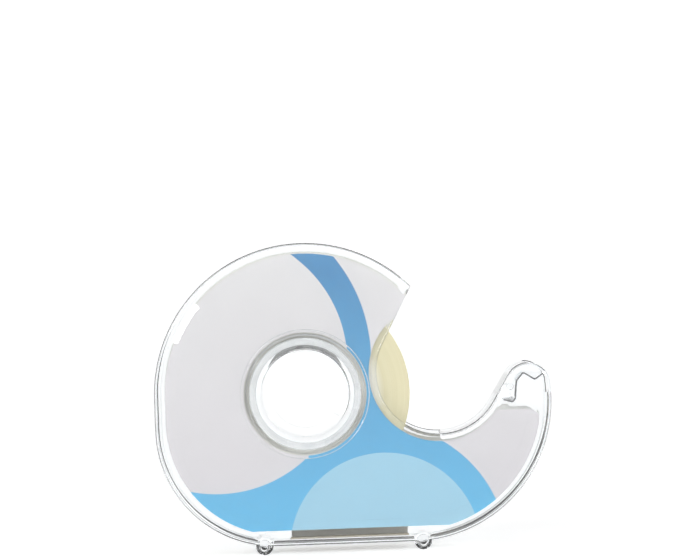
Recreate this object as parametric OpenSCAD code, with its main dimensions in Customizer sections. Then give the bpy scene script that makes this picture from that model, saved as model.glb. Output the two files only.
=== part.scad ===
// Hand-held tape dispenser: a clear moulded shell in two halves around a roll of tape, with a
// steel cutter in its head and a printed card inside each cheek.
// X runs from the drum to the nose, -Y is the side of the cover, and Z is up.
// The origin is on the surface that the dispenser stands on, under the middle of its box.

/* [Tape] */
// Width of the tape
tape_w = 18; // [12:1:24]
// Outer diameter of the full roll
roll_d = 52.5; // [42:0.5:66]
// Bore of the core
core_bore_d = 25.4; // [24:0.1:31]
// Wall of the core
core_wall = 2.4; // [1:0.1:2.6]
// How far the core stands out past the tape, on each side
core_proud = 0.3; // [0:0.1:0.4]
// Room between the tape and a cheek, on each side
side_room = 1.2; // [1:0.1:2]

/* [Shell] */
// Room between the full roll and the rim
roll_room = 10.05; // [6:0.05:14]
// Thickness of the cheeks and the rim
wall = 1.5; // [1.2:0.1:1.9]
// Radius of the corner below the drum
corner_r = 29.7; // [24:0.1:34]
// Radius of the arm's outer curve
arm_r = 34.9; // [32:0.1:35.6]
// Where the rim ends over the finger opening, in degrees round the drum
rim_end_a = 43.5; // [38:0.5:52]
// How far inside the edge the sunk field of a cheek starts
field_inset = 5.8; // [4:0.1:7]
// Depth of the sunk field
field_depth = 0.25; // [0.1:0.05:0.4]

/* [Head and finger opening] */
// Radius of the head
head_r = 5.6; // [5:0.1:6.4]
// How far round the arm's curve the head sits, in degrees
head_turn = 6.3; // [4:0.1:10]
// Radius of the finger opening
finger_r = 15.6; // [13:0.1:19]
// Cheek left between the hub's collar and the finger opening
finger_gap = 1.8; // [1:0.1:4]
// Height of the middle of the finger opening above the middle of the arm's curve
finger_up = 7.4; // [5:0.1:9]
// How much further the head is from the finger opening than its own width
neck_gap = 1.2; // [0.8:0.1:4]

/* [Hub] */
// Play between the spindle and the core, on the radius
core_play = 0.4; // [0.3:0.05:0.8]
// Width of the flat that the core's end runs against
thrust_w = 1.8; // [1.4:0.1:2.2]
// Wall of the spindle
spindle_wall = 1.3; // [1:0.1:1.6]
// Play between the cover's plug and the spindle, on the radius
plug_play = 0.55; // [0.4:0.05:0.8]
// Bore through the plug, and so through the dispenser
plug_bore_r = 8.55; // [7:0.05:9]
// Length of the plug, from the cheek's outer face
plug_len = 9.2; // [6:0.1:12]
// Width of the collar round the core's end
collar_w = 1.8; // [1.5:0.1:2.6]
// How far the collar stands out of the cheek
collar_proud = 0.8; // [0.4:0.1:1.2]
// Width of a snap claw's window
window_w = 2.2; // [1.6:0.1:2.8]
// Width of the key that lines the cover up
key_w = 2.4; // [1.6:0.1:3.2]

/* [Feet and pins] */
// Outer radius of the foot tubes on the base
foot_r = 2.2; // [2:0.1:2.6]
// Radius of the cover's pins in the foot tubes
foot_pin_r = 1.5; // [1.2:0.05:1.6]
// Distance from the back end of the base's flat to the rear foot
rear_foot_x = 3.4; // [1:0.1:5]
// Distance from the front end of the base's flat to the front foot
front_foot_x = 1.6; // [0.6:0.1:4]
// Radius of the cover's pin in the head
head_pin_r = 0.8; // [0.6:0.05:0.8]
// How far the cover's pins reach into the body
pin_reach = 6; // [4:0.5:8]
// Play round a pin, on the radius
pin_play = 0.1; // [0.05:0.01:0.15]
// Thickness of the cover's locating lip
lip_t = 0.6; // [0.5:0.1:0.8]
// Height of the locating lip
lip_h = 1.3; // [1:0.1:1.6]
// Play between the lip and the rim
lip_play = 0.2; // [0.15:0.05:0.3]

/* [Cutter] */
// Thickness of the steel
blade_t = 0.4; // [0.3:0.05:0.5]
// Room between the blade and a cheek, on each side
blade_room = 0.3; // [0.2:0.05:0.5]
// Length of the last limb, with its teeth
limb_len = 3.4; // [3:0.1:3.8]
// Slope of the last limb, in degrees
limb_a = 34.4; // [28:0.1:40]
// Pitch of the teeth
tooth_pitch = 1.25; // [1:0.05:1.6]
// Depth of the teeth
tooth_depth = 0.9; // [0.6:0.05:1.2]

/* [Printed cards] */
// Thickness of the card
card_t = 0.35; // [0.2:0.05:0.4]
// Gap between a card and its cheek
card_gap = 0.1; // [0.05:0.05:0.15]
// Gap between the card's edge and the locating lip
card_play = 0.4; // [0.05:0.05:0.5]
// How much rounder the card's lower corner is than the lip's
card_corner_r = 1.6; // [1:0.1:5]
// Gap between the card's lower edge and the foot tubes
card_foot_gap = 1.6; // [1:0.1:3]
// How far the card's edge is from the finger opening
card_finger = 1.9; // [1.6:0.1:3]
// How far the card's edge is from the straight edge over the finger opening
card_mouth = 0.4; // [0.2:0.1:1.5]
// How far below the middle of the arm's curve the card ends in the arm
card_arm_drop = 2.8; // [2:0.1:4]
// Gap between the card's hole and the hub's thrust face
card_hub_gap = 0.9; // [0.5:0.1:1.2]
// Gap between the tab on the base and the back end of the base's flat
tab_rear_gap = 3.1; // [1.4:0.1:10]
// Gap between the tab on the base and the front end of the base's flat
tab_front_gap = 1.9; // [1.7:0.1:10]

/* [Hidden] */
$fn = 96;
arc_step = 3;                                   // degrees between the points of an outline's arc
over = 0.5;                                     // how far a cut runs past what it cuts

half_in = tape_w / 2 + side_room;               // mid-plane to a cheek's inner face
half_out = half_in + wall;                      // mid-plane to a cheek's outer face

// Hub
core_r = core_bore_d / 2;
spindle_r = core_r - core_play;
spindle_bore = spindle_r - spindle_wall;
plug_r = spindle_bore - plug_play;
thrust_r = core_r + thrust_w;
thrust_h = (side_room - core_proud) / 2;
collar_r = thrust_r + collar_w - 0.1;
crest_w = 0.9;                                  // width of the collar's flat crest
collar_round = 0.5;
ledge_depth = 1.3;                              // from the cheek's outer face down to the ledge
ledge_t = 1.2;
ring_depth = 0.8;                               // from the cheek's outer face down to the plug's rim
spindle_end = half_out - ledge_depth - ledge_t - 0.1;
claw_angles = [94, 214, 334];
claw_slit = 0.5;
claw_rise = plug_play - 0.15;                   // the hook, relaxed inside the spindle
key_a = -90;
key_play = 0.15;

// Outline of the shell, round the hub's axis
drum_r = roll_d / 2 + roll_room + wall;
base_h = drum_r;
finger_x = collar_r + finger_gap + finger_r;
nose_x = finger_x + finger_r + neck_gap + 2 * head_r;
corner_c = [corner_r - drum_r, corner_r - base_h];
arm_c = [nose_x - arm_r, arm_r - base_h];
head_c = arm_c + (arm_r - head_r) * dir(head_turn);
finger_c = [finger_x, arm_c[1] + finger_up];
throat = head_c - finger_c;                     // the line that the neck crosses
neck_a = atan2(throat[1], throat[0]) - acos((head_r + finger_r) / norm(throat));
lip_end_a = 95;                                 // where the tape's rest ends, round the head
finger_end_a = -88;                             // where the inner wall ends, round the opening
nose_end_a = 2;                                 // where the outer wall ends, round the arm
hub_x = (drum_r - nose_x) / 2;
hub_z = base_h + foot_r;
foot_x = [corner_c[0] - rear_foot_x, arm_c[0] + front_foot_x];

// Cutter, from the head's centre: the trough is where the last limb starts
trough = (head_r - limb_len - 0.05) * dir(limb_a);
crest = trough + [-2.8, 1.8];
knee = crest + [-1.7, -2.0];
heel = knee + [-0.5, -4.3];
hook_room = 0.66;                               // between the end of the blade's hook and the neck's wall
hook_z = heel[1] - 0.3;
hook_x = (head_r - wall - hook_room - hook_z * sin(neck_a + 180)) / cos(neck_a + 180);
blade_path = [[hook_x, hook_z], heel + [-0.7, -0.95], heel, knee, crest, trough,
              trough + (limb_len + 0.1) * dir(limb_a)];
blade_half = half_in - blade_room;
seat_side = [-blade_t / 2 - 0.05, 0];           // from the blade's middle to its seat
seat_top = (head_r - wall / 2) * dir(neck_a + 180);
seat_len = (seat_top[1] - heel[1] - 0.1) / cos(neck_a);
head_pin = knee + [-1.7, -1.3];
tooth_count = floor(2 * blade_half / tooth_pitch);

// Printed card
card_inset = wall + lip_play + lip_t + card_play;
rim_end_t = card_inset - 0.15;                  // thickness of the rim's end, which the card passes under
card_round = corner_r - card_inset + card_corner_r;
card_c = [-drum_r, -base_h] + (card_inset + card_round) * [1, 1];
card_low = foot_r + card_foot_gap - base_h;
card_half = half_in - card_gap;                 // mid-plane to a card's outer face
card_nose_r = 2.5;                              // the round corner of the card in the arm
card_nose_a = -10.5;
tab_x0 = corner_c[0] + tab_rear_gap;
tab_x1 = arm_c[0] - tab_front_gap;

function dir(a) = [cos(a), sin(a)];
function arc(c, r, a0, a1) =
    let (n = max(2, ceil(abs(a1 - a0) / arc_step)))
    [for (i = [0:n]) c + r * dir(a0 + (a1 - a0) * i / n)];
function reverse(list) = [for (i = [len(list) - 1:-1:0]) list[i]];
// Angle at which the tangent from p touches the circle, on its drum side
function touch_a(p, c, r) = atan2(p[1] - c[1], p[0] - c[0]) + acos(r / norm(p - c));
// Angle on a circle at which it crosses a height
function height_a(c, r, z) = asin((z - c[1]) / r);

// The points of a bent line, moved sideways by off, with mitred corners
function beside(path, off) =
    [for (i = [0:len(path) - 1])
        let (a = path[max(i, 1)] - path[max(i, 1) - 1],
             b = path[min(i, len(path) - 2) + 1] - path[min(i, len(path) - 2)],
             n0 = [-a[1], a[0]] / norm(a), n1 = [-b[1], b[0]] / norm(b))
        path[i] + off * (n0 + n1) / (1 + n0 * n1)];
// Outer wall, i inside the outline: rim end, drum, corner, base and arm
function rim_path(i, a0, a1) = concat(
    arc([0, 0], drum_r - i, a0, 180),
    arc(corner_c, corner_r - i, 180, 270),
    arc(arm_c, arm_r - i, 270, a1));
// Inner wall, i inside the outline: top of the head, neck and bottom of the opening
function throat_path(i, a0, a1) = concat(
    arc(head_c, head_r - i, a0, neck_a + 180),
    arc(finger_c, finger_r + i, neck_a, a1));
// The whole cheek
function cheek_path() =
    concat(rim_path(0, rim_end_a, 360 + head_turn),
           throat_path(0, head_turn, touch_a(drum_r * dir(rim_end_a), finger_c, finger_r) - 360));

// The sunk field of a cheek: it stops short of the head
function field_path() =
    let (a = rim_end_a + 1.9 * field_inset, p = (drum_r - field_inset) * dir(a), r = finger_r + field_inset)
    concat(rim_path(field_inset, a, 350), arc(finger_c, r, neck_a, touch_a(p, finger_c, r) - 360));
// Half round that ends a wall, from angle a, turning anticlockwise
function wall_end(c, a) = arc(c, wall / 2, a, a + 180);

// A flat shape standing in the XZ plane, from y0 to y1, round the hub's axis
module slab(y0, y1)
    translate([hub_x, y1, hub_z]) rotate([90, 0, 0]) linear_extrude(y1 - y0) children();
// A turned shape round the hub's axis, drawn as radius and distance towards the cover
module turned() translate([hub_x, 0, hub_z]) rotate([90, 0, 0]) rotate_extrude() children();
module disc_at(p, r) translate(p) circle(r);

module cheek(y0, y1, outer_y) {
    sunk = outer_y < 0 ? [outer_y - over, outer_y + field_depth] : [outer_y - field_depth, outer_y + over];
    difference() {
        slab(y0, y1) polygon(cheek_path());
        slab(sunk[0], sunk[1]) polygon(field_path());
        slab(y0 - over, y1 + over) circle(thrust_r - 0.1);
    }
}

// Section of the round collar: from the cheek's inner face round the outside to the funnel's top
function collar_section() =
    let (r = collar_round, out = collar_r - r, in = out - crest_w, top = half_out + collar_proud - r)
    concat([[collar_r, half_in]],
           [for (a = [0:22.5:90]) [out, top] + r * dir(a)],
           [for (a = [90:20:130]) [in, top] + r * dir(a)]);

module window(a, r0, w)
    rotate(a) {
        translate([r0, -w / 2]) square([spindle_r - r0 - w / 2 - 0.1, w]);
        translate([spindle_r - w / 2 - 0.1, 0]) circle(w / 2);
    }

module claw_block(a, w) rotate(a) translate([0, -w / 2]) square([spindle_r, w]);

// Back cheek with the rim, the inner wall, the spindle, the foot tubes and the cutter's seat
module rear_body() color([0.92, 0.95, 0.97, 0.4]) {
    difference() {
        union() {
            cheek(half_in, half_out, half_out);
            slab(-half_in, half_in + over) {
                polygon(concat(rim_path(0, rim_end_a, 360 + nose_end_a),
                               reverse(rim_path(wall, rim_end_a + 5, 360 + nose_end_a)),
                               [(drum_r - rim_end_t) * dir(rim_end_a + 3),
                                (drum_r - rim_end_t) * dir(rim_end_a + 0.5)]));
                polygon(concat(throat_path(0, lip_end_a, finger_end_a),
                               wall_end(finger_c + (finger_r + wall / 2) * dir(finger_end_a),
                                        finger_end_a + 180),
                               reverse(throat_path(wall, lip_end_a, finger_end_a)),
                               wall_end(head_c + (head_r - wall / 2) * dir(lip_end_a), lip_end_a + 180)));
            }
            slab(-half_in, half_in + over) translate(head_c) polygon([
                heel + seat_side + [0, 0.4], knee + seat_side, seat_top,
                seat_top + seat_len * dir(neck_a - 90)]);
            for (x = foot_x)
                slab(-half_in, half_out) disc_at([x, -base_h], foot_r);
            turned() polygon(concat(
                [[spindle_bore, spindle_end], [spindle_r, spindle_end], [spindle_r, thrust_h - half_in],
                 [thrust_r, thrust_h - half_in], [thrust_r, -half_in]],
                [for (p = collar_section()) [p[0], -p[1]]],
                [[spindle_bore + 0.4, 1 - half_out], [spindle_bore, 1.4 - half_out]]));
            intersection() {
                turned() translate([plug_r + 0.25, spindle_end - 1])
                    square([spindle_r - plug_r - 0.5, 1.7]);
                slab(-half_out, half_in) claw_block(key_a, key_w);
            }
        }
        for (x = foot_x)
            slab(-half_out, half_out + over) disc_at([x, -base_h], foot_pin_r + pin_play);
        slab(-half_out, pin_reach - half_in + 1) disc_at(head_c + head_pin, head_pin_r + pin_play);
    }
}

// Front cheek with its collar, the plug and its claws, the locating lip and the pins
module front_cover() color([0.94, 0.96, 0.98, 0.4]) {
    cheek(-half_out, -half_in, -half_out);
    difference() {
        turned() polygon(concat(
            [[plug_bore_r, half_out - plug_len], [plug_r, half_out - plug_len],
             [plug_r, half_out - ledge_depth - ledge_t], [spindle_r, half_out - ledge_depth - ledge_t],
             [spindle_r, half_in - thrust_h], [thrust_r, half_in - thrust_h],
             [thrust_r, half_in]],
            collar_section(),
            [[spindle_r, half_out - ledge_depth], [plug_r, half_out - ledge_depth],
             [plug_r, half_out - ring_depth], [plug_bore_r, half_out - ring_depth]]));
        slab(ledge_depth - half_out - over, ledge_depth + ledge_t - half_out + over) {
            for (a = claw_angles) window(a, plug_r, window_w);
            difference() {
                claw_block(key_a, key_w + 2 * key_play);
                circle(plug_r);
                rotate(key_a) translate([spindle_r - 0.2, -key_w]) square(2 * key_w);
            }
        }
        slab(ledge_depth + ledge_t - half_out + 0.4, plug_len - half_out + over)
            for (a = claw_angles, s = [-1, 1]) rotate(a)
                translate([plug_bore_r - over, s * (window_w + claw_slit) / 2 - claw_slit / 2])
                    square([plug_r, claw_slit]);
    }
    intersection() {
        turned() polygon([
            [plug_r - 0.2, half_out - plug_len], [plug_r + claw_rise / 3, half_out - plug_len],
            [plug_r + claw_rise, half_out - plug_len + 1.2], [plug_r - 0.2, half_out - plug_len + 1.5]]);
        slab(-half_out, half_out) for (a = claw_angles) claw_block(a, window_w);
    }
    difference() {
        slab(-half_in - over, lip_h - half_in)
            polygon(concat(rim_path(wall + lip_play, rim_end_a + 8, 345),
                           reverse(rim_path(wall + lip_play + lip_t, rim_end_a + 8, 345))));
        for (x = foot_x)
            slab(-half_in, half_out) disc_at([x, -base_h], foot_r + 0.4);
    }
    for (x = foot_x)
        slab(-half_out, pin_reach - half_in) disc_at([x, -base_h], foot_pin_r);
    slab(-half_out, pin_reach - half_in) disc_at(head_c + head_pin, head_pin_r);
}

// Stamped steel strip with a row of teeth, hooked round its seat in the head
module cutter_blade() color([0.72, 0.73, 0.74])
    difference() {
        slab(-blade_half, blade_half) translate(head_c)
            polygon(concat(beside(blade_path, blade_t / 2), reverse(beside(blade_path, -blade_t / 2))));
        translate([hub_x + head_c[0] + trough[0], 0, hub_z + head_c[1] + trough[1]])
            rotate([0, -limb_a, 0]) translate([0, 0, -blade_t]) linear_extrude(2 * blade_t)
                polygon(concat(
                    [[limb_len + over, -blade_half - over], [limb_len - tooth_depth, -blade_half - over]],
                    [for (i = [0:tooth_count - 1], corner = [[1, 0], [0, 0.44], [0, 0.56]])
                        [limb_len - corner[0] * tooth_depth, (i + corner[1] - tooth_count / 2) * tooth_pitch]],
                    [[limb_len - tooth_depth, tooth_count / 2 * tooth_pitch],
                     [limb_len - tooth_depth, blade_half + over], [limb_len + over, blade_half + over]]));
    }

// One leaf of printed card, from y0 to y1
module card(y0, y1) {
    drum_in = drum_r - card_inset;
    arm_in = arm_r - card_inset;
    finger_in = finger_r + card_finger;
    mouth_a = touch_a(drum_r * dir(rim_end_a), finger_c, finger_r);
    mouth = finger_c + (finger_r + card_mouth) * dir(mouth_a);
    mouth_way = dir(mouth_a - 90);
    reach = sqrt(pow(mouth * mouth_way, 2) - mouth * mouth + drum_in * drum_in) - mouth * mouth_way;
    mouth_top = mouth + reach * mouth_way;
    slab(y0, y1) difference() {
        polygon(concat(
            arc([0, 0], drum_in, atan2(mouth_top[1], mouth_top[0]), 180),
            arc(card_c, card_round, 180, 180 - height_a(card_c, card_round, card_low)),
            arc(arm_c, arm_in, height_a(arm_c, arm_in, card_low), card_nose_a),
            arc(arm_c + (arm_in - card_nose_r) * dir(card_nose_a), card_nose_r, card_nose_a, 90),
            arc(finger_c, finger_in, height_a(finger_c, finger_in, arm_c[1] - card_arm_drop),
                mouth_a - acos((finger_r + card_mouth) / finger_in) - 360)));
        circle(thrust_r + card_hub_gap);
    }
}

module front_inlay() color([0.62, 0.8, 0.9]) card(-card_half, card_t - card_half);

// The rear card also has a tab, folded forward along the base
module rear_inlay() color([0.66, 0.64, 0.58]) {
    card(card_half - card_t, card_half);
    slab(card_half - card_t, card_half)
        translate([tab_x0, wall - base_h]) square([tab_x1 - tab_x0, card_low + base_h - wall + over]);
    slab(lip_h + 0.4 - half_in, card_half)
        translate([tab_x0, wall - base_h]) square([tab_x1 - tab_x0, card_t]);
}

module tape_core() color([0.8, 0.74, 0.62])
    slab(-tape_w / 2 - core_proud, tape_w / 2 + core_proud) difference() {
        circle(core_r + core_wall);
        circle(core_r);
    }

module tape_winding() color([0.86, 0.83, 0.7])
    slab(-tape_w / 2, tape_w / 2) difference() {
        circle(roll_d / 2);
        circle(core_r + core_wall);
    }

rear_body();
front_cover();
cutter_blade();
front_inlay();
rear_inlay();
tape_core();
tape_winding();
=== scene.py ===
"""Looks of a clear hand-held tape dispenser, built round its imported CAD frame.

Every piece is made in mesh code, in metres, in the frame's own axes: X runs from the drum to the nose,
-Y is the side of the cover and Z is up. The print and the cutter are laid out in millimetres from the
hub. The studio is a seamless pale bowl with soft lamps, and its wall is darker above the white.
"""

import logging
import math
import random
from collections.abc import Callable, Sequence
from dataclasses import dataclass
from enum import Enum

import bmesh
import bpy
import numpy as np
from mathutils import Matrix, Vector
from mathutils.geometry import delaunay_2d_cdt


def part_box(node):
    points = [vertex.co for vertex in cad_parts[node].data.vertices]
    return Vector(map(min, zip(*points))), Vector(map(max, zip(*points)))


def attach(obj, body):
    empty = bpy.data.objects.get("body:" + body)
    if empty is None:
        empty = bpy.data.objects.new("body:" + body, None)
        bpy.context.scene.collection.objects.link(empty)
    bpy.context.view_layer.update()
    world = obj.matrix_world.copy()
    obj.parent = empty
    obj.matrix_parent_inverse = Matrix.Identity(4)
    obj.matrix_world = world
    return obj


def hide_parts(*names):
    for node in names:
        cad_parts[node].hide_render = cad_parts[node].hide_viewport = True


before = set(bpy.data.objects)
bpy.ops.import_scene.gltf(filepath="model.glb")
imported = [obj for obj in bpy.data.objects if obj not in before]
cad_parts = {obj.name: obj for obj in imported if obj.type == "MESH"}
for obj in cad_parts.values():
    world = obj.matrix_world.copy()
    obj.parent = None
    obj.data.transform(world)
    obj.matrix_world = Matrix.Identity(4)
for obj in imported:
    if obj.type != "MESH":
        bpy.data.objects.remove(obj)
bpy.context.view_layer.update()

MM = 0.001
LOG = logging.getLogger("dispenser")

NEAR = 0.001 * MM
SAME_POINT = 1e-8
FLAT_COSINE = 0.9999
FLOAT = "NodeSocketFloat"
VECTOR = "NodeSocketVector"

Point = tuple[float, float]
Colour = tuple[float, float, float]
Socket = bpy.types.NodeSocket
NodeTree = bpy.types.NodeTree
Node = bpy.types.Node
Material = bpy.types.Material
Piece = bpy.types.Object
Mesh = bmesh.types.BMesh


class Side(Enum):
    """Which way a cheek's outer face looks along Y."""

    COVER = -1
    BODY = 1


class Body(Enum):
    """The CAD bodies that pieces ride on."""

    SHELL = "shell"
    COVER = "cover"
    ROLL = "roll"


def srgb(red: int, green: int, blue: int) -> Colour:
    """Linear colour from a 0 to 255 display colour."""

    def linear(value: float) -> float:
        """One channel, display to linear."""
        return value / 12.92 if value <= 0.04045 else ((value + 0.055) / 1.055) ** 2.4

    return (linear(red / 255), linear(green / 255), linear(blue / 255))


def direction(degrees: float) -> np.ndarray:
    """Unit vector at an angle in the XZ plane."""
    return np.array([math.cos(math.radians(degrees)), math.sin(math.radians(degrees))])


# ---- Shader node helpers and shared effects ----


class Tree:
    """A thin wrapper round a node tree that makes and links nodes in one call."""

    def __init__(self, tree: NodeTree) -> None:
        """Wraps a node tree."""
        self.tree = tree

    def node(self, kind: str, inputs: dict | None = None, **settings: object) -> Node:
        """Adds a node.

        Args:
            kind: Blender's node type.
            inputs: socket name or index to a value or an output socket.
            settings: attributes to set on the node.

        Returns:
            The new node.
        """
        made = self.tree.nodes.new(kind)
        for name, value in settings.items():
            setattr(made, name, value)
        for name, value in (inputs or {}).items():
            self.feed(made.inputs[name], value)
        return made

    def feed(self, socket: Socket, value: object) -> None:
        """Links an output to an input socket, or sets the socket's own value."""
        if isinstance(value, Socket):
            self.tree.links.new(value, socket)
        else:
            socket.default_value = value

    def math(self, operation: str, first: object, second: object = 0.0, third: object = 0.0,
             clamp: bool = False) -> Socket:
        """Result socket of a Math node."""
        made = self.node("ShaderNodeMath", {0: first, 1: second, 2: third}, operation=operation,
                         use_clamp=clamp)
        return made.outputs[0]

    def vector(self, operation: str, first: object, second: object) -> Socket:
        """Vector result of a Vector Math node."""
        return self.node("ShaderNodeVectorMath", {0: first, 1: second}, operation=operation).outputs[0]

    def noise(self, place: object, scale: object, detail: float, **more: float) -> Socket:
        """Value of a noise texture, with any further inputs by name."""
        inputs = {"Vector": place, "Scale": scale, "Detail": detail, **more}
        return self.node("ShaderNodeTexNoise", inputs).outputs["Fac"]

    def ramp(self, value: object, low: float, high: float, to_low: float = 0.0,
             to_high: float = 1.0) -> Socket:
        """A value mapped from one range to another and clamped."""
        made = self.node("ShaderNodeMapRange", {"Value": value, "From Min": low, "From Max": high,
                                                "To Min": to_low, "To Max": to_high})
        return made.outputs["Result"]

    def mix(self, factor: object, first: object, second: object) -> Socket:
        """Colour between two colours."""
        made = self.node("ShaderNodeMix", {0: factor}, data_type="RGBA")
        for index, value in ((6, first), (7, second)):
            linked = isinstance(value, Socket)
            self.feed(made.inputs[index], value if linked else (*value, 1.0))
        return made.outputs[2]


def new_group(name: str, inputs: Sequence[tuple[str, str, object]],
              outputs: Sequence[tuple[str, str]]) -> tuple[Tree, dict, Node]:
    """Makes an empty shader node group.

    Args:
        name: the group's name.
        inputs: name, socket type and default of each input.
        outputs: name and socket type of each output.

    Returns:
        The group's wrapper, its input sockets by name and its output node.
    """
    group = bpy.data.node_groups.new(name, "ShaderNodeTree")
    for label, kind, default in inputs:
        socket = group.interface.new_socket(name=label, in_out="INPUT", socket_type=kind)
        if default is not None:
            socket.default_value = default
    for label, kind in outputs:
        group.interface.new_socket(name=label, in_out="OUTPUT", socket_type=kind)
    tree = Tree(group)
    entry = tree.node("NodeGroupInput")
    exit_node = tree.node("NodeGroupOutput")
    return tree, {s.name: s for s in entry.outputs if s.name}, exit_node


class Effects:
    """The node groups that several finishes share."""

    def __init__(self) -> None:
        """Builds every group once."""
        self.handling = self._handling()
        self.fibres = self._fibres()
        self.rings = self._rings()
        self.disc = self._disc()

    @staticmethod
    def _handling() -> NodeTree:
        """Hairline scratches and faint smears on a hard glossy surface.

        Returns:
            A group with a roughness value and a bump height.
        """
        tree, given, out = new_group(
            "handling_marks",
            [("Position", VECTOR, None), ("Scale", FLOAT, 1.0), ("Clean", FLOAT, 0.02),
             ("Worn", FLOAT, 0.1)],
            [("Roughness", FLOAT), ("Height", FLOAT)])
        way = {"Vector": given["Position"], "Scale": (90.0, 40.0, 1400.0), "Rotation": (0.3, 0.5, 0.2)}
        stretched = tree.node("ShaderNodeMapping", way)
        lines = tree.noise(stretched.outputs[0], given["Scale"], 3.0, Roughness=0.6)
        smear = tree.noise(given["Position"], 70.0, 4.0)
        scratch = tree.ramp(lines, 0.66, 0.74)
        smudge = tree.ramp(smear, 0.48, 0.72)
        amount = tree.math("MAXIMUM", scratch, tree.math("MULTIPLY", smudge, 0.45))
        span = tree.math("SUBTRACT", given["Worn"], given["Clean"])
        rough = tree.math("MULTIPLY_ADD", amount, span, given["Clean"])
        tree.feed(out.inputs[0], rough)
        height = tree.math("MULTIPLY_ADD", scratch, -0.4, smear)
        tree.feed(out.inputs[1], height)
        return tree.tree

    @staticmethod
    def _fibres() -> NodeTree:
        """Paper fibres: short tangled strands with a cloudy ground.

        Returns:
            A group with a mask round 0.5 and a bump height.
        """
        tree, given, out = new_group(
            "paper_fibres", [("Position", VECTOR, None), ("Scale", FLOAT, 1.0)],
            [("Mask", FLOAT), ("Height", FLOAT)])
        size = tree.math("MULTIPLY", given["Scale"], 1800.0)
        bent = tree.node("ShaderNodeTexNoise", {"Vector": given["Position"], "Scale": 900.0, "Detail": 2.0})
        offset = tree.vector("MULTIPLY", bent.outputs["Color"], (0.0012, 0.0012, 0.0012))
        moved = tree.vector("ADD", given["Position"], offset)
        strand = tree.node("ShaderNodeTexVoronoi", {"Vector": moved, "Scale": size},
                           feature="DISTANCE_TO_EDGE")
        cloud = tree.noise(given["Position"], 260.0, 5.0, Roughness=0.65)
        line = tree.ramp(strand.outputs["Distance"], 0.02, 0.16, 1.0, 0.0)
        mask = tree.math("MULTIPLY_ADD", line, 0.25, tree.math("MULTIPLY", cloud, 0.8))
        tree.feed(out.inputs[0], mask)
        tree.feed(out.inputs[1], tree.math("ADD", line, cloud))
        return tree.tree

    @staticmethod
    def _radius(tree: Tree, position: object, axis: object) -> Socket:
        """Distance in millimetres from an axis along Y."""
        shifted = tree.vector("SUBTRACT", position, axis)
        flattened = tree.vector("MULTIPLY", shifted, (1 / MM, 0.0, 1 / MM))
        length = tree.node("ShaderNodeVectorMath", {0: flattened}, operation="LENGTH")
        return length.outputs["Value"]

    @staticmethod
    def _rings() -> NodeTree:
        """Fine rings round an axis along Y, such as the edges of wound layers.

        Returns:
            A group with a mask round 0.5, a bump height and the radius in millimetres.
        """
        tree, given, out = new_group(
            "wound_rings",
            [("Position", VECTOR, None), ("Axis", VECTOR, None), ("Pitch", FLOAT, 0.2)],
            [("Mask", FLOAT), ("Height", FLOAT), ("Radius", FLOAT)])
        radius = Effects._radius(tree, given["Position"], given["Axis"])
        turns = tree.math("DIVIDE", radius, given["Pitch"])
        fine = tree.node("ShaderNodeTexNoise", {"W": turns, "Scale": 1.0, "Detail": 3.0, "Roughness": 0.7},
                         noise_dimensions="1D")
        broad = tree.node("ShaderNodeTexNoise", {"W": turns, "Scale": 0.16, "Detail": 2.0},
                          noise_dimensions="1D")
        mask = tree.math("MULTIPLY_ADD", fine.outputs["Fac"], 0.6,
                         tree.math("MULTIPLY", broad.outputs["Fac"], 0.4))
        tree.feed(out.inputs[0], mask)
        tree.feed(out.inputs[1], fine.outputs["Fac"])
        tree.feed(out.inputs[2], radius)
        return tree.tree

    @staticmethod
    def _disc() -> NodeTree:
        """A printed disc in the XZ plane with a crisp, slightly inky edge.

        Returns:
            A group whose mask is 1 inside the disc.
        """
        tree, given, out = new_group(
            "printed_disc",
            [("Position", VECTOR, None), ("Centre", VECTOR, None), ("Radius", FLOAT, 10.0)],
            [("Mask", FLOAT)])
        ink_edge = 0.06
        distance = Effects._radius(tree, given["Position"], given["Centre"])
        signed = tree.math("SUBTRACT", given["Radius"], distance)
        tree.feed(out.inputs[0], tree.ramp(signed, -ink_edge, ink_edge))
        return tree.tree


# ---- Finishes ----


class Palette:
    """Base of the finishes: starts a material and places shared effects in it."""

    def __init__(self, effects: Effects) -> None:
        """Keeps the shared effects."""
        self.effects = effects

    @staticmethod
    def start(name: str) -> tuple[Material, Tree, Node, Socket]:
        """Starts a material.

        Args:
            name: the material's name.

        Returns:
            The material, its tree, its Principled node and the object position.
        """
        material = bpy.data.materials.new(name)
        material.use_nodes = True
        tree = Tree(material.node_tree)
        shader = next(n for n in material.node_tree.nodes if n.type == "BSDF_PRINCIPLED")
        place = tree.node("ShaderNodeTexCoord").outputs["Object"]
        return material, tree, shader, place

    @staticmethod
    def use(tree: Tree, group: NodeTree, inputs: dict) -> Node:
        """Places a node group in a material."""
        return tree.node("ShaderNodeGroup", inputs, node_tree=group)

    def wear(self, tree: Tree, shader: Node, place: Socket, scale: float,
             clean: float, worn: float) -> Socket:
        """Places the handling marks, feeds their roughness and gives their height."""
        marks = self.use(tree, self.effects.handling, {"Position": place, "Scale": scale, "Clean": clean,
                                                       "Worn": worn})
        tree.feed(shader.inputs["Roughness"], marks.outputs["Roughness"])
        return marks.outputs["Height"]

    @staticmethod
    def bump(tree: Tree, shader: Node, height: Socket, strength: float, distance: float) -> None:
        """Feeds a height into a material's normal."""
        made = tree.node("ShaderNodeBump", {"Strength": strength, "Distance": distance, "Height": height})
        tree.feed(shader.inputs["Normal"], made.outputs[0])


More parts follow.
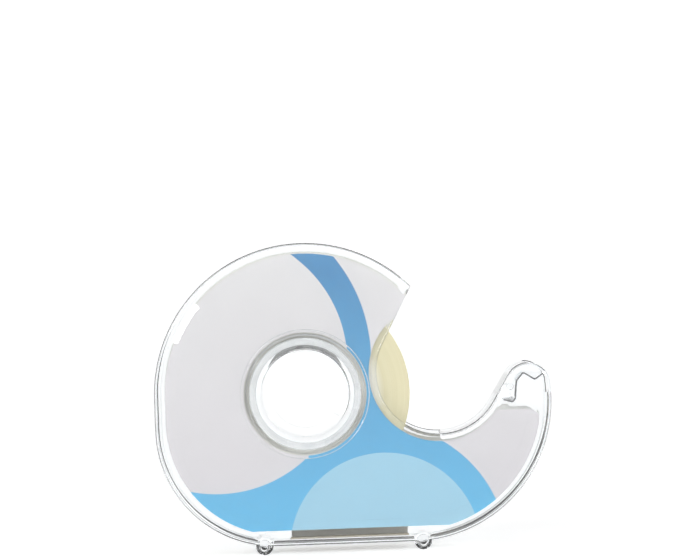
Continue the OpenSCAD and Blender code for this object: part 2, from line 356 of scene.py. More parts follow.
@dataclass(frozen=True)
class ClearPolystyrene:
    """Clear, hard, slightly blue injection-moulded plastic, darker grey-blue at grazing angles by painted
    shade.
    """

    tint: Colour = (0.972, 0.982, 0.988)
    # painted shade: the colour the glass takes at grazing angles, so that its edges read as dark lines
    grazing_painted_shade: Colour = (0.7, 0.74, 0.78)
    painted_shade_from: float = 0.35
    index: float = 1.57
    clean: float = 0.0
    worn: float = 0.07
    flow_strength: float = 0.12
    flow_depth: float = 0.4 * MM
    shadow: Colour = (0.95, 0.96, 0.965)

    def make(self, palette: Palette) -> Material:
        """Builds the material: glass to sight, and clear to the lamps."""
        material, tree, shader, place = palette.start("clear_polystyrene")
        # Painted shade: the glass's colour darkens towards grey-blue where it is seen at a grazing angle.
        facing = tree.node("ShaderNodeLayerWeight", {"Blend": 0.5}).outputs["Facing"]
        grazing_shade_amount = tree.ramp(facing, self.painted_shade_from, 1.0)
        tree.feed(shader.inputs["Base Color"], tree.mix(grazing_shade_amount, self.tint, self.grazing_painted_shade))
        shader.inputs["Transmission Weight"].default_value = 1.0
        shader.inputs["IOR"].default_value = self.index
        palette.wear(tree, shader, place, 1.0, self.clean, self.worn)
        flow = tree.noise(place, 55.0, 1.0)
        palette.bump(tree, shader, flow, self.flow_strength, self.flow_depth)
        lamp_way = tree.node("ShaderNodeBsdfTransparent", {"Color": (*self.shadow, 1.0)})
        rays = tree.node("ShaderNodeLightPath")
        blend = tree.node("ShaderNodeMixShader", {0: rays.outputs["Is Shadow Ray"], 1: shader.outputs[0],
                                                  2: lamp_way.outputs[0]})
        out = next(n for n in material.node_tree.nodes if n.type == "OUTPUT_MATERIAL")
        tree.feed(out.inputs["Surface"], blend.outputs[0])
        return material


@dataclass(frozen=True)
class PrintedFace:
    """Coated card printed with plain overlapping discs."""

    hub: Point
    grey: Colour = srgb(227, 224, 224)
    grey_low: Colour = srgb(219, 214, 217)
    blue_high: Colour = srgb(40, 134, 188)
    blue_low: Colour = srgb(84, 186, 230)
    pale: Colour = srgb(158, 208, 230)
    drum_disc: Point = (-22.0, 8.6)
    drum_disc_r: float = 32.9
    drum_band: Point = (-22.4, 9.7)
    drum_band_r: float = 39.2
    foot_disc: Point = (18.8, -39.3)
    foot_disc_r: float = 23.9
    foot_band: Point = (17.4, -40.2)
    foot_band_r: float = 31.8
    fade_half: float = 30.0
    base_right: float = 26.0
    base_top: float = 5.0
    fibre_strength: float = 0.06
    fibre_depth: float = 0.03 * MM

    def _centre(self, point: Point) -> tuple[float, float, float]:
        """A point given from the hub in millimetres, in the frame."""
        return (self.hub[0] + point[0] * MM, 0.0, self.hub[1] + point[1] * MM)

    def make(self, palette: Palette) -> Material:
        """Builds the material."""
        material, tree, shader, place = palette.start("printed_card_face")

        def disc(centre: Point, radius: float) -> Socket:
            """Mask of one printed disc."""
            given = {"Position": place, "Centre": self._centre(centre), "Radius": radius}
            return palette.use(tree, palette.effects.disc, given).outputs["Mask"]

        axes = tree.node("ShaderNodeSeparateXYZ", {0: place})
        height = tree.ramp(axes.outputs["Z"], self.hub[1] - self.fade_half * MM,
                           self.hub[1] + self.fade_half * MM)
        left = tree.math("LESS_THAN", axes.outputs["X"], self.hub[0] + self.base_right * MM)
        low = tree.math("LESS_THAN", axes.outputs["Z"], self.hub[1] + self.base_top * MM)
        band = tree.math("MAXIMUM", disc(self.drum_band, self.drum_band_r),
                         disc(self.foot_band, self.foot_band_r))
        band = tree.math("MAXIMUM", band, tree.math("MULTIPLY", left, low))
        inside = disc(self.drum_disc, self.drum_disc_r)
        blue = tree.math("MULTIPLY", band, tree.math("SUBTRACT", 1.0, inside))
        ground = tree.mix(height, self.grey_low, self.grey)
        ink = tree.mix(height, self.blue_low, self.blue_high)
        colour = tree.mix(blue, ground, ink)
        paler = tree.math("MULTIPLY", disc(self.foot_disc, self.foot_disc_r), blue)
        colour = tree.mix(paler, colour, self.pale)
        fibres = palette.use(tree, palette.effects.fibres, {"Position": place, "Scale": 1.4})
        shade = tree.ramp(fibres.outputs["Mask"], 0.2, 0.8, 0.965, 1.02)
        tree.feed(shader.inputs["Base Color"], tree.vector("MULTIPLY", colour, shade))
        rough = tree.ramp(fibres.outputs["Mask"], 0.2, 0.8, 0.36, 0.46)
        tree.feed(shader.inputs["Roughness"], rough)
        palette.bump(tree, shader, fibres.outputs["Height"], self.fibre_strength, self.fibre_depth)
        return material


@dataclass(frozen=True)
class BareBoard:
    """Board with flecks, in a grey-brown that is painted shade on the tab, or as its pale lining."""

    name: str
    light: Colour
    dark: Colour
    fibre_strength: float = 0.35
    fibre_depth: float = 0.06 * MM

    def make(self, palette: Palette) -> Material:
        """Builds the material."""
        material, tree, shader, place = palette.start(self.name)
        fibres = palette.use(tree, palette.effects.fibres, {"Position": place, "Scale": 0.8})
        fleck = tree.ramp(tree.noise(place, 2400.0, 2.0), 0.62, 0.72)
        amount = tree.math("MULTIPLY_ADD", fleck, -0.35, fibres.outputs["Mask"], clamp=True)
        colour = tree.mix(amount, self.dark, self.light)
        tree.feed(shader.inputs["Base Color"], colour)
        tree.feed(shader.inputs["Roughness"], tree.ramp(fibres.outputs["Mask"], 0.2, 0.8, 0.78, 0.92))
        shader.inputs["Specular IOR Level"].default_value = 0.3
        palette.bump(tree, shader, fibres.outputs["Height"], self.fibre_strength, self.fibre_depth)
        return material


@dataclass(frozen=True)
class WhitePolypropylene:
    """Milky white moulded plastic with a faint satin bloom and shallow flow marks."""

    light: Colour = srgb(247, 247, 246)
    dark: Colour = srgb(233, 234, 234)
    clean: float = 0.26
    worn: float = 0.5
    scatter: float = 2.0 * MM
    mark_strength: float = 0.15
    mark_depth: float = 0.05 * MM

    def make(self, palette: Palette) -> Material:
        """Builds the material."""
        material, tree, shader, place = palette.start("white_polypropylene")
        flow = tree.noise(place, 130.0, 3.0, Distortion=1.2)
        colour = tree.mix(tree.ramp(flow, 0.3, 0.7), self.dark, self.light)
        tree.feed(shader.inputs["Base Color"], colour)
        marks = palette.wear(tree, shader, place, 1.2, self.clean, self.worn)
        shader.inputs["Subsurface Weight"].default_value = 0.15
        shader.inputs["Subsurface Radius"].default_value = (self.scatter, self.scatter, self.scatter)
        palette.bump(tree, shader, marks, self.mark_strength, self.mark_depth)
        return material


@dataclass(frozen=True)
class RolledSteel:
    """Thin rolled steel with lines along its length."""

    name: str = "rolled_steel"
    light: Colour = (0.86, 0.87, 0.88)
    dark: Colour = (0.72, 0.73, 0.745)
    clean: float = 0.12
    worn: float = 0.3
    grain_strength: float = 0.25
    grain_depth: float = 0.03 * MM

    def make(self, palette: Palette) -> Material:
        """Builds the material."""
        material, tree, shader, place = palette.start(self.name)
        shader.inputs["Metallic"].default_value = 1.0
        stretched = tree.node("ShaderNodeMapping", {"Vector": place, "Scale": (3200.0, 60.0, 3200.0)})
        grain = tree.noise(stretched.outputs[0], 1.0, 4.0, Roughness=0.7)
        colour = tree.mix(grain, self.dark, self.light)
        tree.feed(shader.inputs["Base Color"], colour)
        palette.wear(tree, shader, place, 1.6, self.clean, self.worn)
        palette.bump(tree, shader, grain, self.grain_strength, self.grain_depth)
        return material


@dataclass(frozen=True)
class TapeFilm:
    """Wound clear tape: pale yellow in bulk, with the edges of its layers as fine rings."""

    hub: Point
    light: Colour = srgb(230, 224, 192)
    dark: Colour = srgb(210, 202, 160)
    pale: Colour = srgb(240, 239, 232)
    pale_from: float = 16.0
    pale_to: float = 20.0
    ring_pitch: float = 0.22
    ring_strength: float = 0.3
    ring_depth: float = 0.04 * MM

    def make(self, palette: Palette) -> Material:
        """Builds the material."""
        material, tree, shader, place = palette.start("wound_tape")
        axis = (self.hub[0], 0.0, self.hub[1])
        rings = palette.use(tree, palette.effects.rings, {"Position": place, "Axis": axis,
                                                          "Pitch": self.ring_pitch})
        layers = tree.math("MULTIPLY", rings.outputs["Mask"], 0.75)
        amount = tree.math("MULTIPLY_ADD", tree.noise(place, 60.0, 2.0), 0.35, layers, clamp=True)
        colour = tree.mix(amount, self.dark, self.light)
        near = tree.ramp(rings.outputs["Radius"], self.pale_to, self.pale_from)
        colour = tree.mix(near, colour, self.pale)
        tree.feed(shader.inputs["Base Color"], colour)
        tree.feed(shader.inputs["Roughness"], tree.ramp(rings.outputs["Mask"], 0.3, 0.7, 0.28, 0.42))
        shader.inputs["Coat Weight"].default_value = 0.15
        shader.inputs["Coat Roughness"].default_value = 0.12
        palette.bump(tree, shader, rings.outputs["Height"], self.ring_strength, self.ring_depth)
        return material


@dataclass(frozen=True)
class StudioPaper:
    """Plain seamless paper, lit a little from behind where it is white."""

    name: str = "studio_paper"
    light: Colour = (0.93, 0.93, 0.93)
    dark: Colour = (0.9, 0.9, 0.9)
    glow: float = 0.42

    def make(self, palette: Palette) -> Material:
        """Builds the material."""
        material, tree, shader, place = palette.start(self.name)
        shader.inputs["Emission Color"].default_value = (1.0, 1.0, 1.0, 1.0)
        shader.inputs["Emission Strength"].default_value = self.glow
        colour = tree.mix(tree.noise(place, 3.0, 4.0), self.dark, self.light)
        tree.feed(shader.inputs["Base Color"], colour)
        shader.inputs["Roughness"].default_value = 0.9
        shader.inputs["Specular IOR Level"].default_value = 0.2
        return material


# Painted shade: the tab's grey-brown colour stands in for the pale board in shade under the roll.
TAB_BOARD_PAINTED_SHADE = BareBoard("tab_board_painted_shade", srgb(218, 208, 188), srgb(172, 161, 140))
CARD_LINING = BareBoard("card_lining", srgb(240, 240, 238), srgb(222, 221, 217))
# Painted shade: the sheared ends' dark colour makes them read as a dark line where they are seen edge-on;
# their higher roughness is real.
SHEARED_ENDS_PAINTED_SHADE = RolledSteel("sheared_ends_painted_shade", (0.2, 0.2, 0.205), (0.1, 0.1, 0.105), 0.35, 0.6)
STUDIO_WALL = StudioPaper("studio_wall", (0.28, 0.28, 0.28), (0.25, 0.25, 0.25), 0.02)


# ---- Mesh helpers ----


def to_object(name: str, mesh: Mesh, materials: Sequence[Material],
              sharp: float = 32.0) -> Piece:
    """Turns mesh data into a linked object with smooth shading up to an angle.

    Args:
        name: the piece's name.
        mesh: the mesh data, freed afterwards.
        materials: the object's materials in slot order.
        sharp: edges folded more than this many degrees stay sharp.

    Returns:
        The object.
    """
    data = bpy.data.meshes.new(name)
    mesh.to_mesh(data)
    mesh.free()
    packed = data.attributes.get("custom_normal")
    if packed is not None:
        data.attributes.remove(packed)
    for polygon in data.polygons:
        polygon.use_smooth = abs(polygon.normal.y) < FLAT_COSINE
    data.set_sharp_from_angle(angle=math.radians(sharp))
    made = bpy.data.objects.new(name, data)
    bpy.context.scene.collection.objects.link(made)
    for material in materials:
        data.materials.append(material)
    return made


def cad_mesh(node: str) -> Mesh:
    """A clean copy of a CAD node's shape."""
    mesh = bmesh.new()
    mesh.from_mesh(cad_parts[node].data)
    bmesh.ops.remove_doubles(mesh, verts=mesh.verts, dist=0.1 * NEAR)
    for face in mesh.faces:
        face.material_index = 0
    return mesh


def lathe(mesh: Mesh, section: Sequence[Point], hub: Point, steps: int,
          radius_at: Callable[[float, float], float] | None = None) -> None:
    """Turns a closed section round an axis along Y.

    Args:
        mesh: where the faces go.
        section: closed loop of radius and Y, in metres.
        hub: X and Z of the axis.
        steps: how many facets the turn has.
        radius_at: optional change of a radius with the angle in radians.
    """
    rings = []
    for step in range(steps):
        angle = 2 * math.pi * step / steps
        ring = []
        for radius, y in section:
            r = radius_at(radius, angle) if radius_at else radius
            ring.append(mesh.verts.new((hub[0] + r * math.cos(angle), y, hub[1] + r * math.sin(angle))))
        rings.append(ring)
    count = len(section)
    for step in range(steps):
        here, there = rings[step], rings[(step + 1) % steps]
        for i in range(count):
            j = (i + 1) % count
            mesh.faces.new((here[i], here[j], there[j], there[i]))
    bmesh.ops.recalc_face_normals(mesh, faces=mesh.faces)


def rounded_section(r0: float, r1: float, y0: float, y1: float, edge: float,
                    steps: int = 4) -> list[Point]:
    """A rectangle of radius and Y with rounded corners."""
    points = []
    for cx, cy, start in ((r1 - edge, y0 + edge, -90), (r1 - edge, y1 - edge, 0),
                          (r0 + edge, y1 - edge, 90), (r0 + edge, y0 + edge, 180)):
        for i in range(steps + 1):
            way = direction(start + 90 * i / steps)
            points.append((cx + edge * way[0], cy + edge * way[1]))
    return points


def loops_of(edges: set) -> list[list]:
    """Closed loops of vertices from a set of edges."""
    left = set(edges)
    found = []
    while left:
        first = min(left, key=lambda e: e.index)
        left.discard(first)
        loop = [first.verts[0], first.verts[1]]
        while loop[-1] is not loop[0]:
            following = [e for e in loop[-1].link_edges if e in left]
            if not following:
                break
            edge = min(following, key=lambda e: e.index)
            left.discard(edge)
            loop.append(edge.other_vert(loop[-1]))
        found.append(loop[:-1] if loop[-1] is loop[0] else loop)
    return found


def flat(vertex: bmesh.types.BMVert) -> np.ndarray:
    """X and Z of a vertex."""
    return np.array([vertex.co.x, vertex.co.z])


def loop_area(points: np.ndarray) -> float:
    """Signed area of a closed loop."""
    following = np.roll(points, -1, axis=0)
    return float((points[:, 0] * following[:, 1] - following[:, 0] * points[:, 1]).sum() / 2)


def edge_distance(points: np.ndarray, loop: np.ndarray) -> np.ndarray:
    """Distance of each point to a closed loop of segments."""
    start = loop[None]
    way = (np.roll(loop, -1, axis=0) - loop)[None]
    offset = points[:, None] - start
    share = np.clip((offset * way).sum(2) / np.maximum((way**2).sum(2), 1e-18), 0, 1)
    return np.linalg.norm(offset - share[..., None] * way, axis=2).min(1)


def inside(points: np.ndarray, loops: Sequence[np.ndarray]) -> np.ndarray:
    """Whether each point is inside an odd number of closed loops."""
    crossings = np.zeros(len(points), int)
    for loop in loops:
        a, b = loop, np.roll(loop, -1, axis=0)
        x, z = points[:, :1], points[:, 1:]
        spans = (a[None, :, 1] > z) != (b[None, :, 1] > z)
        rise = np.where(spans, b[None, :, 1] - a[None, :, 1], 1.0)
        cross_x = a[None, :, 0] + (z - a[None, :, 1]) * (b[None, :, 0] - a[None, :, 0]) / rise
        crossings += (spans & (x < cross_x)).sum(1)
    return crossings % 2 == 1


# ---- The shell ----


@dataclass(frozen=True)
class Margin:
    """How a cheek's outer face steps down in a bevel and ends in a round edge."""

    bevel_from: float = 3.7 * MM
    bevel_to: float = 2.05 * MM
    drop: float = 0.17 * MM
    edge_round: float = 0.6 * MM

    def depth(self, distance: float) -> float:
        """How far the face lies below its own plane, at a distance from the outline."""
        share = (self.bevel_from - distance) / (self.bevel_from - self.bevel_to)
        fall = self.drop * min(1.0, max(0.0, share))
        if distance < self.edge_round:
            rest = self.edge_round - distance
            fall += self.edge_round - math.sqrt(self.edge_round**2 - rest**2)
        return fall


@dataclass
class ShellHalf:
    """One clear half of the shell, with its cheek's margin and edges rounded.

    The steps are distances from the outline in millimetres: whole rings of faces in the rounded edge,
    and rows of points further in.
    """

    node: str
    name: str
    body: Body
    side: Side
    half_in: float = 10.2 * MM
    half_out: float = 11.7 * MM
    seam: float = 0.05 * MM
    margin: Margin = Margin()
    round_steps: tuple[float, ...] = (0.0, 0.045, 0.16, 0.34, 0.6)
    inner_steps: tuple[float, ...] = (0.8, 1.3, 1.8, 2.05, 2.15, 2.9, 3.6, 3.7, 4.3, 5.0)
    border_room: float = 0.25 * MM
    row_share: float = 0.97
    sharp: float = 38.0
    piece: Piece | None = None

    def build(self) -> None:
        """Makes the mesh from the CAD shape."""
        mesh = cad_mesh(self.node)
        self._round_cheek(mesh)
        if self.side is Side.BODY:
            for vertex in mesh.verts:
                if abs(vertex.co.y + self.half_in) < NEAR:
                    vertex.co.y += self.seam
        bmesh.ops.recalc_face_normals(mesh, faces=mesh.faces)
        self.piece = to_object(self.name, mesh, [], self.sharp)

    def dress(self, clear: Material) -> None:
        """Gives the piece its material and ties it to the frame."""
        self.piece.data.materials.append(clear)
        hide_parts(self.node)
        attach(self.piece, self.body.value)

    def _round_cheek(self, mesh: Mesh) -> None:
        """Replaces the cheek's flat margin by one that falls away to a rounded edge."""
        plane = self.half_out * self.side.value
        margin = {f for f in mesh.faces if all(abs(v.co.y - plane) < NEAR for v in f.verts)}
        mesh.edges.index_update()
        border = {e for f in margin for e in f.edges if sum(g in margin for g in e.link_faces) == 1}
        loops = sorted(loops_of(border), key=lambda l: -abs(loop_area(np.array([flat(v) for v in l]))))
        outline = loops[0]
        outline_at = np.array([flat(v) for v in outline])
        if loop_area(outline_at) < 0:
            outline.reverse()
            outline_at = outline_at[::-1].copy()
        inward = self._inward(outline_at)
        bmesh.ops.delete(mesh, geom=list(margin), context="FACES_ONLY")
        loose = [e for e in mesh.edges if not e.link_faces]
        bmesh.ops.delete(mesh, geom=loose, context="EDGES")

        def height(distance: float) -> float:
            """Y of the face at a distance from the outline."""
            return plane - self.side.value * self.margin.depth(distance)

        ring = outline
        for vertex in outline:
            vertex.co.y = height(0.0)
        for step in self.round_steps[1:]:
            places = outline_at + inward * step * MM
            following = [mesh.verts.new((p[0], height(step * MM), p[1])) for p in places]
            for i in range(len(ring)):
                j = (i + 1) % len(ring)
                mesh.faces.new((ring[i], ring[j], following[j], following[i]))
            ring = following
        ring_at = np.array([flat(v) for v in ring])
        inner = loops[1:]
        inner_at = [np.array([flat(v) for v in l]) for l in inner]
        extra = []
        for step in self.inner_steps:
            places = outline_at + inward * step * MM
            good = inside(places, [ring_at, *inner_at])
            good &= edge_distance(places, outline_at) > self.row_share * step * MM
            for loop in inner_at:
                good &= edge_distance(places, loop) > self.border_room
            extra.extend(places[good])
        self._fill(mesh, ring, inner, np.array(extra), outline_at, height)

    @staticmethod
    def _inward(loop: np.ndarray) -> np.ndarray:
        """Mitred inward vector at each corner of a loop that runs anticlockwise."""
        mitre_limit = 0.35
        before = loop - np.roll(loop, 1, axis=0)
        after = np.roll(loop, -1, axis=0) - loop
        n0 = np.stack([-before[:, 1], before[:, 0]], 1) / np.linalg.norm(before, axis=1)[:, None]
        n1 = np.stack([-after[:, 1], after[:, 0]], 1) / np.linalg.norm(after, axis=1)[:, None]
        return (n0 + n1) / np.maximum(1 + (n0 * n1).sum(1), mitre_limit)[:, None]

    def _fill(self, mesh: Mesh, ring: list, inner: list[list], extra: np.ndarray,
              outline_at: np.ndarray, height: Callable[[float], float]) -> None:
        """Fills the face between the rounded edge and its inner borders.

        Args:
            mesh: where the faces go.
            ring: vertices of the innermost rounding ring.
            inner: vertices of each inner border.
            extra: places of the points in between.
            outline_at: the outline's places.
            height: Y at a distance from the outline.
        """
        vertices = list(ring) + [v for loop in inner for v in loop]
        places = [Vector(flat(v)) for v in vertices]
        edges = []
        start = 0
        for loop in [ring, *inner]:
            count = len(loop)
            edges += [(start + i, start + (i + 1) % count) for i in range(count)]
            start += count
        places += [Vector(p) for p in extra]
        points, _, faces, origin, _, _ = delaunay_2d_cdt(places, edges, [], 0, SAME_POINT, True)
        at = np.array([tuple(p) for p in points])
        distance = edge_distance(at, outline_at)
        made = []
        for i, source in enumerate(origin):
            known = [s for s in source if s < len(vertices)]
            if known:
                vertex = vertices[known[0]]
            else:
                vertex = mesh.verts.new((at[i][0], height(distance[i]), at[i][1]))
            made.append(vertex)
        for i, source in enumerate(origin):
            known = [s for s in source if len(ring) <= s < len(vertices)]
            if known:
                made[i].co.y = height(distance[i])
        loops = [np.array([flat(v) for v in loop]) for loop in [ring, *inner]]
        triangles = np.array(faces)
        middle = at[triangles].mean(1)
        for keep, triangle in zip(inside(middle, loops), triangles):
            corners = [made[i] for i in triangle]
            if keep and len(set(corners)) == 3 and mesh.faces.get(corners) is None:
                mesh.faces.new(corners)


# ---- What the shell holds ----


class Leaf(Enum):
    """The surfaces of a card, in the order of its materials."""

    PRINT = 0
    LINING = 1
    TAB = 2


@dataclass
class PrintedLeaf:
    """One leaf of card: printed outside, pale inside, and grey-brown on the tab that one of them has, a
    colour that is painted shade.
    """

    node: str
    name: str
    body: Body
    side: Side
    lift: float = 0.03 * MM
    tab_height: float = 0.4 * MM
    tab_reach: float = 0.5 * MM
    print_reach: float = 0.1 * MM
    print_cosine: float = 0.7
    sharp: float = 30.0
    piece: Piece | None = None

    def build(self) -> None:
        """Makes the leaf, its lower tab just clear of the rim."""
        mesh = cad_mesh(self.node)
        low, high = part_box(self.node)
        outer = low.y if self.side is Side.COVER else high.y
        has_tab = self.side is Side.BODY
        for vertex in mesh.verts:
            if has_tab and abs(vertex.co.z - low.z) < self.tab_height:
                vertex.co.z += self.lift
        for face in mesh.faces:
            middle = face.calc_center_median()
            outward = face.normal.y * self.side.value > self.print_cosine
            if outward and abs(middle.y - outer) < self.print_reach:
                surface = Leaf.PRINT
            elif has_tab and abs(middle.z - low.z) < self.tab_reach:
                surface = Leaf.TAB
            else:
                surface = Leaf.LINING
            face.material_index = surface.value
        self.piece = to_object(self.name, mesh, [], self.sharp)

    def dress(self, face: Material, lining: Material, board: Material) -> None:
        """Gives the leaf its print, its pale lining and its tab's grey-brown colour, which is painted
        shade.
        """
        for material in (face, lining, board):
            self.piece.data.materials.append(material)
        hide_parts(self.node)
        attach(self.piece, self.body.value)


@dataclass
class TapeRoll:
    """The wound tape on its core; bands, unevenness and the edge's steps are in millimetres."""

    hub: Point
    core_r: float = 12.7 * MM
    winding_r: float = 15.1 * MM
    outer_r: float = 26.25 * MM
    core_half: float = 9.3 * MM
    tape_half: float = 9.0 * MM
    layer: float = 0.05 * MM
    end_at: float = math.radians(24)
    steps: int = 256
    core_steps: int = 128
    core_edge: float = 0.22 * MM
    core_seam: float = 0.01 * MM
    band: tuple[float, float] = (0.25, 0.8)
    uneven: float = 0.05
    plain_edge: float = 0.5 * MM
    edge: tuple[Point, ...] = ((0.1, 0.02), (0.02, 0.08), (0.0, 0.25))
    sharp: float = 40.0
    core: Piece | None = None
    winding: Piece | None = None

    def build(self) -> None:
        """Makes the core and the winding."""
        mesh = bmesh.new()
        section = rounded_section(self.core_r, self.winding_r - self.core_seam, -self.core_half,
                                  self.core_half, self.core_edge)
        lathe(mesh, section, self.hub, self.core_steps)
        self.core = to_object("core_ring", mesh, [])
        mesh = bmesh.new()
        lathe(mesh, self._winding_section(), self.hub, self.steps, self._wound)
        self.winding = to_object("tape_winding_coil", mesh, [], self.sharp)

    def _winding_section(self) -> list[Point]:
        """Closed section of the winding: bands of layers stand a few hundredths proud or shy."""
        draw = random.Random(5)
        outer = self.outer_r
        side: list[Point] = []
        radius = self.winding_r
        while radius < outer - self.plain_edge:
            side.append((radius, self.tape_half - draw.uniform(0.0, self.uneven) * MM))
            radius += draw.uniform(*self.band) * MM
        side += [(outer - inward * MM, self.tape_half - drop * MM) for inward, drop in self.edge]
        return side + [(outer, 0.0)] + [(r, -y) for r, y in reversed(side)]

    def _wound(self, radius: float, angle: float) -> float:
        """A radius made to grow by one layer in a turn, so that the tape's end is a step."""
        share = (radius - self.winding_r) / (self.outer_r - self.winding_r)
        turn = ((angle - self.end_at) % (2 * math.pi)) / (2 * math.pi)
        return radius - self.layer * share * (1 - turn)

    def dress(self, plastic: Material, film: Material) -> None:
        """Gives both their finishes and ties them to the frame."""
        for piece, node, slot, material in ((self.core, "tape_core", "core_plastic", plastic),
                                            (self.winding, "tape_winding", "tape_roll", film)):
            piece.data.materials.append(material)
            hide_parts(node)
            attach(piece, Body.ROLL.value)


@dataclass
class Cutter:
    """The bent steel strip with its row of teeth, its sizes in millimetres and its bends from the head."""

    hub: Point
    head: Point = (55.824, 0.315)
    bends: tuple[Point, ...] = ((-6.132, -3.588), (-3.931, -4.24), (-3.231, -3.29), (-2.731, 1.01),
                                (-1.031, 3.01), (1.769, 1.21))
    limb_len: float = 3.4
    limb_a: float = 34.4
    thick: float = 0.38
    half: float = 9.9
    bend_r: float = 0.55
    tooth_pitch: float = 1.25
    tooth_depth: float = 0.9
    tooth_gap: float = 0.02
    root_share: float = 0.02
    tooth_crest: tuple[float, float] = (0.44, 0.56)
    bend_steps: int = 6
    bend_room: float = 0.45
    sharp: float = 40.0
    piece: Piece | None = None

    def _line(self) -> list[np.ndarray]:
        """Middle line of the strip up to the teeth's roots, with round bends, from the head's centre."""
        corners = [np.array(p) for p in self.bends]
        tip = corners[-1] + (self.limb_len - self.tooth_depth) * direction(self.limb_a)
        corners.append(tip)
        line = [corners[0]]
        for before, corner, after in zip(corners, corners[1:], corners[2:]):
            to, on = before - corner, after - corner
            to_len, on_len = np.linalg.norm(to), np.linalg.norm(on)
            to, on = to / to_len, on / on_len
            angle = math.acos(float(np.clip(to @ on, -1, 1)))
            cut = min(self.bend_r / math.tan(angle / 2), self.bend_room * to_len, self.bend_room * on_len)
            first, last = corner + cut * to, corner + cut * on
            for i in range(self.bend_steps + 1):
                t = i / self.bend_steps
                line.append((1 - t) ** 2 * first + 2 * t * (1 - t) * corner + t * t * last)
        line.append(tip)
        return line

    def build(self) -> None:
        """Makes the strip as a closed solid, its teeth cut into the last limb."""
        line = self._line()
        mesh = bmesh.new()
        count = math.floor(2 * self.half / self.tooth_pitch)
        columns = [(-self.half, 0.0)]
        for i in range(count):
            base = (i - count / 2) * self.tooth_pitch
            columns.append((base + self.tooth_gap, 0.0))
            columns += [(base + share * self.tooth_pitch, 1.0) for share in self.tooth_crest]
        columns += [(count / 2 * self.tooth_pitch, 0.0), (self.half, 0.0)]
        limb = direction(self.limb_a)
        rows = []
        for y, reach in columns:
            share = self.root_share + (1 - self.root_share) * reach
            path = line + [line[-1] + self.tooth_depth * share * limb]
            rows.append([self._pair(path, i, y) for i in range(len(path))])
        last = len(rows[0]) - 1
        grid = [[(mesh.verts.new(a), mesh.verts.new(b)) for a, b in row] for row in rows]
        for c in range(len(grid) - 1):
            here, there = grid[c], grid[c + 1]
            for i in range(last):
                mesh.faces.new((here[i][0], here[i + 1][0], there[i + 1][0], there[i][0]))
                mesh.faces.new((here[i][1], there[i][1], there[i + 1][1], here[i + 1][1]))
            mesh.faces.new((here[0][0], there[0][0], there[0][1], here[0][1]))
            mesh.faces.new((here[last][0], here[last][1], there[last][1], there[last][0]))
        # The strip's two ends take the second material, whose dark colour is painted shade.
        for column in (grid[0], grid[-1]):
            for i in range(last):
                face = mesh.faces.new((column[i][0], column[i][1], column[i + 1][1], column[i + 1][0]))
                face.material_index = 1
        bmesh.ops.recalc_face_normals(mesh, faces=mesh.faces)
        self.piece = to_object("cutter_strip", mesh, [], self.sharp)

    def _pair(self, path: Sequence[np.ndarray], i: int, y: float) -> tuple[Vector, Vector]:
        """The two faces' points at one place along the strip."""
        way = path[min(i + 1, len(path) - 1)] - path[max(i - 1, 0)]
        way = way / np.linalg.norm(way)
        side = np.array([-way[1], way[0]]) * self.thick / 2
        centre = path[i] + np.array(self.head)
        return tuple(Vector((self.hub[0] + p[0] * MM, y * MM, self.hub[1] + p[1] * MM))
                     for p in (centre + side, centre - side))

    def dress(self, steel: Material, sheared_ends_shade: Material) -> None:
        """Gives the strip its steel, and its sheared ends a dark colour that is painted shade."""
        for material in (steel, sheared_ends_shade):
            self.piece.data.materials.append(material)
        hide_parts("cutter_blade")
        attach(self.piece, Body.SHELL.value)


# ---- Studio ----


@dataclass(frozen=True)
class Lamp:
    """A soft rectangular lamp that looks at a point."""

    name: str
    place: tuple[float, float, float]
    target: tuple[float, float, float]
    width: float
    height: float
    radiance: float

    def build(self) -> None:
        """Adds the lamp to the scene."""
        data = bpy.data.lights.new(self.name, "AREA")
        data.shape = "RECTANGLE"
        data.size = self.width
        data.size_y = self.height
        data.energy = self.radiance * math.pi * self.width * self.height
        lamp = bpy.data.objects.new(self.name, data)
        lamp.location = self.place
        aim = Vector(self.target) - Vector(self.place)
        lamp.rotation_euler = aim.to_track_quat("-Z", "Y").to_euler()
        lamp.visible_camera = False
        bpy.context.scene.collection.objects.link(lamp)


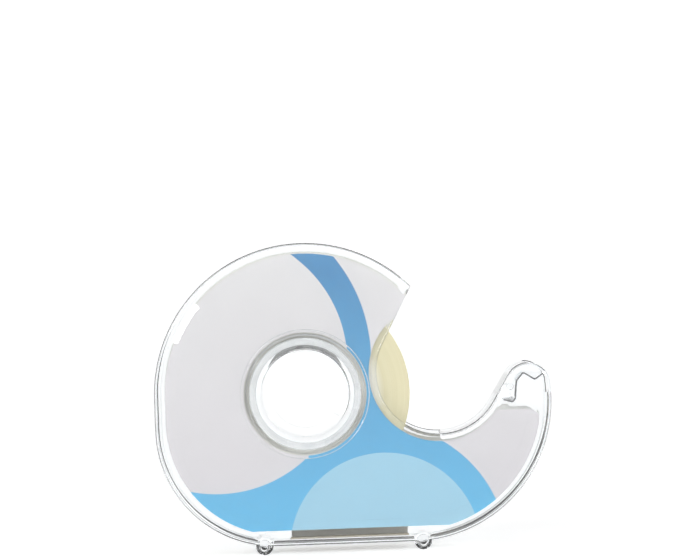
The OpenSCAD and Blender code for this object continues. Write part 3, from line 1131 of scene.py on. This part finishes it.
@dataclass
class Studio:
    """Pale seamless bowl, soft lamps and the camera."""

    hub: Point
    floor_r: float = 1.5
    sweep_r: float = 0.5
    white_top: float = 0.62
    wall_top: float = 2.4
    steps: int = 96
    sweep_steps: int = 12
    camera_from_face: float = 0.807
    face_y: float = -11.7 * MM
    lens: float = 166.0
    aim_x: float = 12.3 * MM
    aim_z: float = 28.1 * MM
    roll: float = 2.1

    def build(self, paper: Material, wall: Material) -> None:
        """Makes the bowl, the lamps, the world and the camera."""
        self._bowl(paper, wall)
        self._lamps()
        self._world()
        self._camera()
        view = bpy.context.scene.view_settings
        view.view_transform = "Standard"
        view.look = "None"

    def _bowl(self, paper: Material, wall: Material) -> None:
        """A round floor that sweeps up into a wall all round, darker above the white."""
        mesh = bmesh.new()
        profile = [(0.3, 0.0), (0.8, 0.0), (self.floor_r, 0.0)]
        for i in range(1, self.sweep_steps + 1):
            way = direction(-90 + 90 * i / self.sweep_steps)
            profile.append((self.floor_r + self.sweep_r * way[0], self.sweep_r * (1 + way[1])))
        profile.append((self.floor_r + self.sweep_r, self.white_top))
        profile.append((self.floor_r + self.sweep_r, self.wall_top))
        middle = mesh.verts.new((0.0, 0.0, 0.0))
        rings = []
        for radius, z in profile:
            ring = []
            for i in range(self.steps):
                angle = 2 * math.pi * i / self.steps
                ring.append(mesh.verts.new((radius * math.cos(angle), radius * math.sin(angle), z)))
            rings.append(ring)
        for i in range(self.steps):
            j = (i + 1) % self.steps
            mesh.faces.new((middle, rings[0][i], rings[0][j]))
            for low, high in zip(rings, rings[1:]):
                mesh.faces.new((low[i], high[i], high[j], low[j]))
        for face in mesh.faces:
            face.material_index = 1 if face.calc_center_median().z > self.white_top else 0
        bowl = to_object("studio_bowl", mesh, [paper, wall], 60.0)

    def _lamps(self) -> None:
        """Overhead and side softboxes, and a small one that glints on the drum's margin."""
        centre = (0.0, 0.0, 0.04)
        lamps = (
            Lamp("overhead_box", (0.0, -0.1, 1.9), centre, 1.5, 1.5, 0.9),
            Lamp("front_left_box", (-1.1, -1.15, 1.0), centre, 0.8, 0.9, 3.8),
            Lamp("front_right_box", (1.2, -1.1, 0.8), centre, 0.7, 0.9, 3.3),
            Lamp("rear_left_box", (-1.15, 1.2, 0.9), centre, 0.8, 0.9, 1.9),
            Lamp("rear_right_box", (1.1, 1.2, 0.9), centre, 0.7, 0.9, 1.9),
            Lamp("glint_box", (-0.411, -1.61, 0.216), (-0.041, -0.012, 0.0585), 0.1, 0.12, 14.0),
        )
        for lamp in lamps:
            lamp.build()

    @staticmethod
    def _world() -> None:
        """A plain pale sky over the bowl."""
        world = bpy.data.worlds.new("pale_sky")
        world.use_nodes = True
        sky = world.node_tree.nodes["Background"]
        sky.inputs["Color"].default_value = (0.96, 0.98, 1.0, 1.0)
        sky.inputs["Strength"].default_value = 0.16
        bpy.context.scene.world = world

    def _camera(self) -> None:
        """A long lens square to the cheeks, rolled a little."""
        data = bpy.data.cameras.new("studio_camera")
        data.lens = self.lens
        data.sensor_width = 36.0
        data.clip_start = 0.05
        data.clip_end = 20.0
        camera = bpy.data.objects.new("studio_camera", data)
        turn = math.radians(self.roll)
        right = Vector((math.cos(turn), 0.0, -math.sin(turn)))
        up = Vector((math.sin(turn), 0.0, math.cos(turn)))
        back = right.cross(up)
        place = Vector((self.hub[0] + self.aim_x, self.face_y - self.camera_from_face,
                        self.hub[1] + self.aim_z))
        camera.matrix_world = Matrix((
            (right.x, up.x, back.x, place.x),
            (right.y, up.y, back.y, place.y),
            (right.z, up.z, back.z, place.z),
            (0.0, 0.0, 0.0, 1.0)))
        bpy.context.scene.collection.objects.link(camera)
        bpy.context.scene.camera = camera


def main() -> None:
    """Builds the sub-assemblies in order."""
    logging.basicConfig(level=logging.INFO, format="%(name)s: %(message)s")
    low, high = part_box("tape_core")
    hub = ((low.x + high.x) / 2, (low.z + high.z) / 2)
    palette = Palette(Effects())
    clear = ClearPolystyrene().make(palette)
    face = PrintedFace(hub).make(palette)
    board = TAB_BOARD_PAINTED_SHADE.make(palette)
    lining = CARD_LINING.make(palette)
    core_plastic = WhitePolypropylene().make(palette)
    steel = RolledSteel().make(palette)
    sheared_ends_shade = SHEARED_ENDS_PAINTED_SHADE.make(palette)
    film = TapeFilm(hub).make(palette)
    paper = StudioPaper().make(palette)
    wall = STUDIO_WALL.make(palette)

    Studio(hub).build(paper, wall)
    roll = TapeRoll(hub)
    roll.build()
    roll.dress(core_plastic, film)
    LOG.info("roll: core and winding")
    for node, name, body, side in (("front_inlay", "front_card", Body.COVER, Side.COVER),
                                   ("rear_inlay", "rear_card", Body.SHELL, Side.BODY)):
        leaf = PrintedLeaf(node, name, body, side)
        leaf.build()
        leaf.dress(face, lining, board)
        LOG.info("card: %s", name)
    cutter = Cutter(hub)
    cutter.build()
    cutter.dress(steel, sheared_ends_shade)
    LOG.info("cutter: strip with its teeth")
    for node, name, body, side in (("rear_body", "clear_body", Body.SHELL, Side.BODY),
                                   ("front_cover", "clear_cover", Body.COVER, Side.COVER)):
        half = ShellHalf(node, name, body, side)
        half.build()
        half.dress(clear)
        LOG.info("shell: %s", name)


if __name__ == "__main__":
    main()
